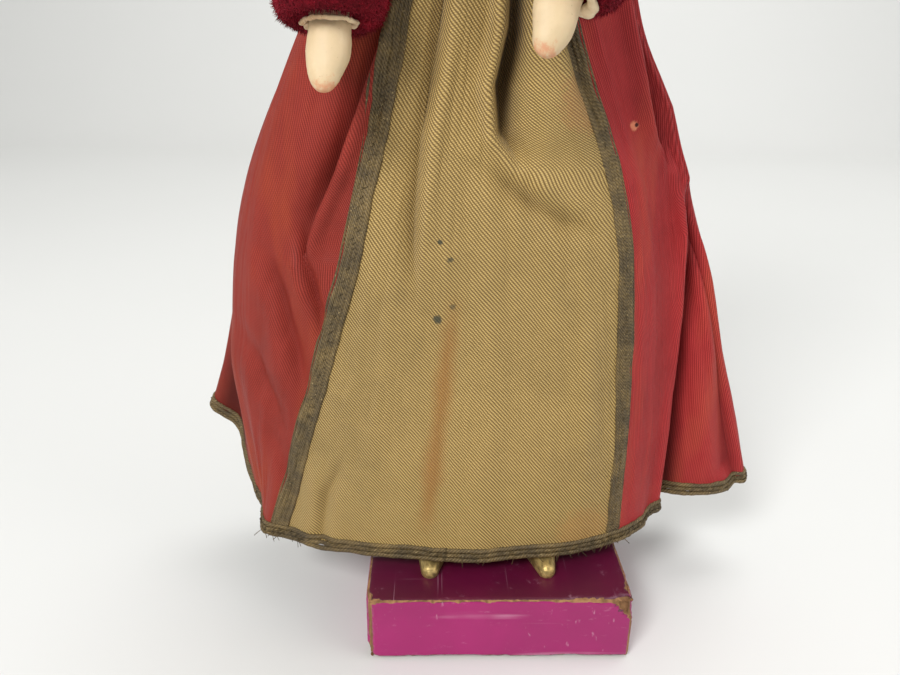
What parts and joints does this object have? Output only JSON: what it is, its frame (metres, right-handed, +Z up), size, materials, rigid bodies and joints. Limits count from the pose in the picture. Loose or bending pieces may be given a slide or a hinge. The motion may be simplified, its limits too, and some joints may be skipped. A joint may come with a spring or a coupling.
{
  "type": "rod puppet",
  "caption": "Dressed rod puppet with a long flared skirt, velvet sleeves and mitten hands, standing on a painted block; its head turns and lifts and its arms are jointed.",
  "frame": {"origin": "centre of the base block's underside", "axes": "+Z up, the figure faces -Y, +X to the viewer's right when looking at its front"},
  "size_m": [0.1619, 0.0843, 0.3074],
  "materials": {
    "block_paint": "semi-gloss magenta paint on wood, chipped",
    "shoe_gilt": "brushed gold paint on wood",
    "bare_wood": "carved and sanded",
    "gold_cloth": "ribbed, slightly shiny",
    "red_cloth": "fine ribbed, satin sheen",
    "braid": "tarnished metal braid",
    "velvet": "plush pile",
    "cream_lining": "raw cut edge",
    "ivory_paint": "ivory paint, worn",
    "hair_paint": "black paint, satin",
    "rod_wood": "dark oiled wood",
    "pin_brass": "dull",
    "gilt_trim": "gilt band"
  },
  "bodies": {
    "stand": {"base_block": "block_paint", "left_shoe": "shoe_gilt", "right_shoe": "shoe_gilt", "left_leg": "bare_wood", "right_leg": "bare_wood", "trunk": "bare_wood", "front_panel": "gold_cloth", "left_side_gore": "red_cloth", "left_back_gore": "red_cloth", "right_back_gore": "red_cloth", "right_side_gore": "red_cloth", "left_panel_braid": "braid", "right_panel_braid": "braid", "hem_braid": "braid", "waist_sash": "gold_cloth", "jacket_front": "velvet", "jacket_back": "velvet", "jacket_braid": "braid", "collar_braid": "braid"},
    "neck_ring": {"neck_ring": "bare_wood"},
    "head": {"control_rod": "rod_wood", "head": "ivory_paint", "hair": "hair_paint", "hair_bun": "hair_paint", "head_band": "gilt_trim", "cap": "velvet"},
    "left_link": {"left_shoulder_link": "bare_wood"},
    "left_upper_arm": {"left_upper_arm": "bare_wood", "left_shoulder_pin": "pin_brass", "left_upper_sleeve": "velvet"},
    "left_forearm": {"left_forearm": "bare_wood", "left_elbow_pin": "pin_brass", "left_lower_sleeve": "velvet", "left_cuff_lining": "cream_lining"},
    "left_hand": {"left_hand": "ivory_paint"},
    "right_link": {"right_shoulder_link": "bare_wood"},
    "right_upper_arm": {"right_upper_arm": "bare_wood", "right_shoulder_pin": "pin_brass", "right_upper_sleeve": "velvet"},
    "right_forearm": {"right_forearm": "bare_wood", "right_elbow_pin": "pin_brass", "right_lower_sleeve": "velvet", "right_cuff_lining": "cream_lining"},
    "right_hand": {"right_hand": "ivory_paint"}
  },
  "joints": [
    {"name": "head_turn", "type": "hinge", "parent": "stand", "child": "neck_ring", "pos_m": [-0.003, 0, 0.254], "axis": [0, 0, 1], "continuous": true},
    {"name": "head_lift", "type": "slide", "parent": "neck_ring", "child": "head", "axis": [0, 0, 1], "range_m": [0, 0.008]},
    {"name": "left_shoulder_swing", "type": "hinge", "parent": "stand", "child": "left_link", "pos_m": [-0.037, 0, 0.244], "axis": [-1, 0, 0], "range_deg": [0, 120]},
    {"name": "left_arm_raise", "type": "hinge", "parent": "left_link", "child": "left_upper_arm", "pos_m": [-0.037, 0, 0.244], "axis": [0, 0.9997, -0.0262], "range_deg": [0, 85]},
    {"name": "left_elbow_bend", "type": "hinge", "parent": "left_upper_arm", "child": "left_forearm", "pos_m": [-0.03659, -0.00123, 0.19702], "axis": [-1, -0.0002, -0.0087], "range_deg": [0, 75]},
    {"name": "left_wrist_turn", "type": "hinge", "parent": "left_forearm", "child": "left_hand", "pos_m": [-0.03626, -0.0224, 0.15959], "axis": [0.0077, -0.4924, -0.8703], "range_deg": [-80, 80]},
    {"name": "right_shoulder_swing", "type": "hinge", "parent": "stand", "child": "right_link", "pos_m": [0.031, 0, 0.244], "axis": [-1, 0, 0], "range_deg": [0, 120]},
    {"name": "right_arm_raise", "type": "hinge", "parent": "right_link", "child": "right_upper_arm", "pos_m": [0.031, 0, 0.244], "axis": [0, -0.9863, 0.165], "range_deg": [0, 85]},
    {"name": "right_elbow_bend", "type": "hinge", "parent": "right_upper_arm", "child": "right_forearm", "pos_m": [0.02487, -0.00769, 0.19804], "axis": [-0.8121, 0.5834, 0.0108], "range_deg": [0, 75]},
    {"name": "right_wrist_turn", "type": "hinge", "parent": "right_forearm", "child": "right_hand", "pos_m": [0.00893, -0.02925, 0.16442], "axis": [-0.3706, -0.5014, -0.7818], "range_deg": [-80, 80]}
  ]
}
